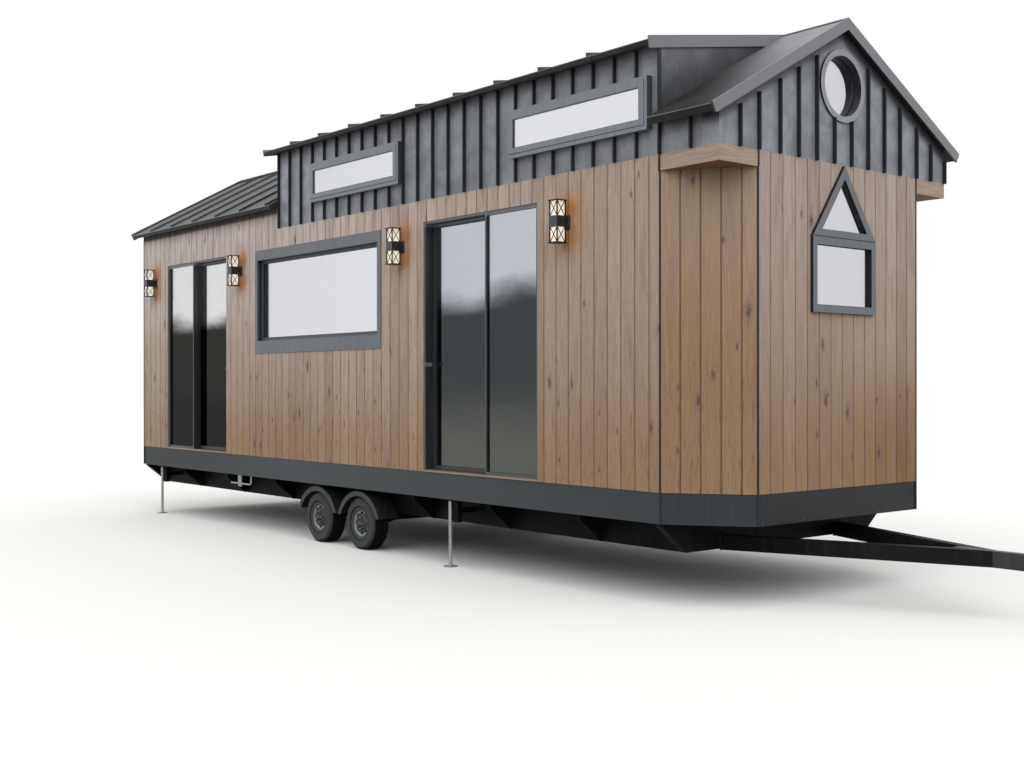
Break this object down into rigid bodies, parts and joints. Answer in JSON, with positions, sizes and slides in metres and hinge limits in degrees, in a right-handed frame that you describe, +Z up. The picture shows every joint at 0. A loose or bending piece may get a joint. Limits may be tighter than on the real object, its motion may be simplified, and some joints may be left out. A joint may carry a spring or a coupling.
{
  "type": "tiny house on wheels",
  "caption": "Timber and metal clad tiny house on a two-axle trailer, with sliding glass doors, a dormer loft and a drawbar.",
  "frame": {"origin": "on the ground, under the middle of the whole length, on the centre line", "axes": "+X forward along the house towards the drawbar, +Y to the plain side, +Z up; the doors are on the -Y side"},
  "size_m": [10.257, 2.7605, 3.915],
  "materials": {
    "chassis_paint": "semi-matt black paint on steel sections",
    "coupling_steel": "black paint, worn at the socket",
    "tyre_rubber": "dusty black rubber",
    "wheel_paint": "dark grey paint",
    "mudguard_plastic": "matt black moulded plastic",
    "galvanised_steel": "dull galvanised steel",
    "floor_timber": "oiled boards",
    "skirt_metal": "satin dark grey sheet",
    "timber_cladding": "oiled vertical boards with knots",
    "metal_cladding": "matt blue-grey standing seam sheet",
    "roof_metal": "matt dark grey standing seam sheet",
    "verge_metal": "satin grey folded sheet",
    "window_trim": "satin grey paint, a little streaked",
    "window_glass": "clear glazing",
    "door_glass": "clear glazing",
    "door_paint": "satin anthracite paint",
    "lantern_metal": "matt black paint",
    "lantern_glass": "frosted warm panels"
  },
  "bodies": {
    "house": {"chassis_rails": "chassis_paint", "cross_members": "chassis_paint", "end_beams": "chassis_paint", "drawbar": "chassis_paint", "coupling_head": "coupling_steel", "axles": "chassis_paint", "mudguards": "mudguard_plastic", "corner_props": "galvanised_steel", "prop_brackets": "chassis_paint", "side_bar": "galvanised_steel", "floor": "floor_timber", "side_skirts": "skirt_metal", "end_skirts": "skirt_metal", "door_side_wall": "timber_cladding", "door_heads": "timber_cladding", "plain_side_wall": "timber_cladding", "front_wall": "timber_cladding", "corner_walls": "timber_cladding", "corner_boxes": "timber_cladding", "rear_wall": "timber_cladding", "rear_gable": "metal_cladding", "gable_wall": "metal_cladding", "upper_side_walls": "metal_cladding", "dormer_cheeks": "metal_cladding", "loft_floor": "floor_timber", "front_roof": "roof_metal", "dormer_roof": "roof_metal", "rear_roof": "roof_metal", "ridge_caps": "roof_metal", "verge_boards": "verge_metal", "corner_strips": "verge_metal", "big_window_frames": "window_trim", "dormer_window_frames": "window_trim", "pointed_window_frame": "window_trim", "round_window_frame": "window_trim", "window_glass": "window_glass", "door_frames": "door_paint", "fixed_leaves": "door_paint", "lantern_frames": "lantern_metal", "lantern_glass": "lantern_glass"},
    "front_door_leaf": {"front_sliding_leaf": "door_paint", "front_sliding_glass": "door_glass"},
    "rear_door_leaf": {"rear_sliding_leaf": "door_paint", "rear_sliding_glass": "door_glass"},
    "front_right_wheel": {"tyre_front_right": "tyre_rubber", "rim_front_right": "wheel_paint"},
    "rear_right_wheel": {"tyre_rear_right": "tyre_rubber", "rim_rear_right": "wheel_paint"},
    "front_left_wheel": {"tyre_front_left": "tyre_rubber", "rim_front_left": "wheel_paint"},
    "rear_left_wheel": {"tyre_rear_left": "tyre_rubber", "rim_rear_left": "wheel_paint"}
  },
  "joints": [
    {"name": "front_door_slide", "type": "slide", "parent": "house", "child": "front_door_leaf", "axis": [1, 0, 0], "range_m": [0, 0.56]},
    {"name": "rear_door_slide", "type": "slide", "parent": "house", "child": "rear_door_leaf", "axis": [-1, 0, 0], "range_m": [0, 0.56]},
    {"name": "front_right_wheel_spin", "type": "hinge", "parent": "house", "child": "front_right_wheel", "pos_m": [-0.605, -1.12, 0.23], "axis": [0, 1, 0], "continuous": true},
    {"name": "front_left_wheel_spin", "type": "hinge", "parent": "house", "child": "front_left_wheel", "pos_m": [-0.605, 1.12, 0.23], "axis": [0, 1, 0], "continuous": true},
    {"name": "rear_right_wheel_spin", "type": "hinge", "parent": "house", "child": "rear_right_wheel", "pos_m": [-1.295, -1.12, 0.23], "axis": [0, 1, 0], "continuous": true},
    {"name": "rear_left_wheel_spin", "type": "hinge", "parent": "house", "child": "rear_left_wheel", "pos_m": [-1.295, 1.12, 0.23], "axis": [0, 1, 0], "continuous": true}
  ]
}
